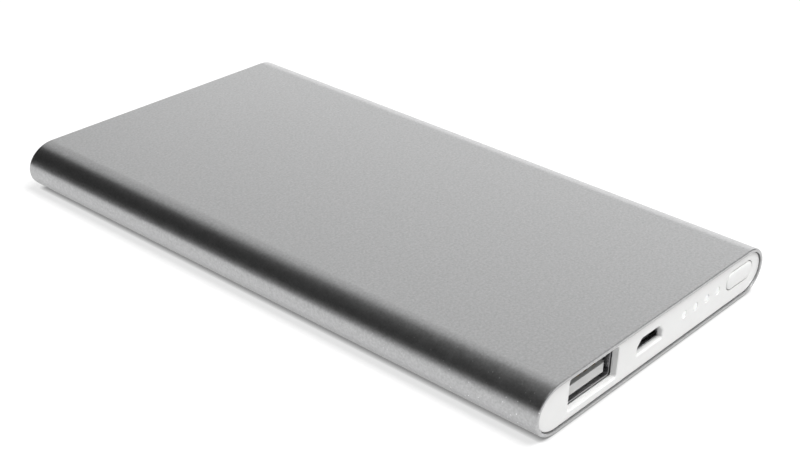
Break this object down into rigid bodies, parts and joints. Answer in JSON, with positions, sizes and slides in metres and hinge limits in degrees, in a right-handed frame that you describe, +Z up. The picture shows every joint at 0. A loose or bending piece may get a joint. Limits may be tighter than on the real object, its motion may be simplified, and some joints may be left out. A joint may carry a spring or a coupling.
{
  "type": "power bank",
  "caption": "Slim oval aluminium power bank with white plastic end caps, a USB-A outlet, a micro socket, charge lights and a push button on one end.",
  "frame": {"origin": "centre of the underside, on the plane it rests on", "axes": "+Z up through the thin dimension; -Y end carries the sockets, lights and button; +X to the right seen from above with the sockets towards the viewer"},
  "size_m": [0.07, 0.125, 0.0095],
  "materials": {
    "sleeve_aluminium": "bead-blasted and clear anodised, satin",
    "cap_plastic": "white moulded plastic, fine satin texture",
    "button_plastic": "white moulded plastic, semi-gloss",
    "light_guide": "milky translucent plastic",
    "tray_plastic": "natural light grey plastic",
    "pouch_foil": "aluminium laminate pouch, satin",
    "nickel": "nickel strip",
    "paper_tape": "double-sided adhesive tape",
    "foam": "soft closed-cell foam, matt",
    "guard_board": "blue solder mask over glass-fibre board",
    "main_board": "green solder mask over glass-fibre board",
    "chip_black": "black moulded epoxy",
    "amber_tape": "amber polyimide film",
    "lead_red": "red silicone insulation",
    "lead_black": "black silicone insulation",
    "socket_steel": "nickel-plated steel",
    "insulator_white": "white moulded insulator",
    "ferrite": "dark grey ferrite",
    "ceramic_chip": "tan ceramic, matt",
    "contact_gold": "gold-plated copper alloy",
    "led_lens": "clear epoxy over a pale chip"
  },
  "bodies": {
    "housing": {"sleeve": "sleeve_aluminium", "front_end_cap": "cap_plastic", "rear_end_cap": "cap_plastic", "light_guide": "light_guide", "inner_tray": "tray_plastic", "pouch_cell": "pouch_foil", "cell_tab_negative": "nickel", "cell_tab_positive": "nickel", "switch_dome": "nickel", "cell_adhesive_pad": "paper_tape", "insulation_sheet": "paper_tape", "top_foam_strip_left": "foam", "top_foam_strip_right": "foam", "rear_foam_block": "foam", "protection_board": "guard_board", "main_board": "main_board", "protection_chip": "chip_black", "protection_transistor": "chip_black", "charge_controller_chip": "chip_black", "boost_transistor": "chip_black", "sense_resistor": "chip_black", "light_resistor": "chip_black", "switch_base": "chip_black", "micro_usb_insulator": "chip_black", "insulating_tape": "amber_tape", "lead_red": "lead_red", "lead_black": "lead_black", "board_screw_left": "socket_steel", "board_screw_right": "socket_steel", "usb_a_shell": "socket_steel", "micro_usb_shell": "socket_steel", "switch_cover": "socket_steel", "usb_a_insulator": "insulator_white", "power_inductor": "ferrite", "output_capacitor_1": "ceramic_chip", "output_capacitor_2": "ceramic_chip", "input_capacitor": "ceramic_chip", "usb_a_contact_1": "contact_gold", "usb_a_contact_2": "contact_gold", "usb_a_contact_3": "contact_gold", "usb_a_contact_4": "contact_gold", "micro_usb_contact_1": "contact_gold", "micro_usb_contact_2": "contact_gold", "micro_usb_contact_3": "contact_gold", "micro_usb_contact_4": "contact_gold", "micro_usb_contact_5": "contact_gold", "led_1": "led_lens", "led_2": "led_lens", "led_3": "led_lens", "led_4": "led_lens"},
    "button": {"button": "button_plastic"},
    "plunger": {"switch_plunger": "chip_black"}
  },
  "joints": [
    {"name": "button_press", "type": "slide", "parent": "housing", "child": "button", "axis": [0, 1, 0], "range_m": [0, 0.0003], "stiffness_N_per_m": 5400},
    {"name": "plunger_press", "type": "slide", "parent": "housing", "child": "plunger", "axis": [0, 1, 0], "range_m": [0, 0.0003], "deforming": ["switch_dome"]}
  ],
  "couplings": [
    {"joint": "plunger_press", "follows": "button_press", "ratio": 1}
  ]
}
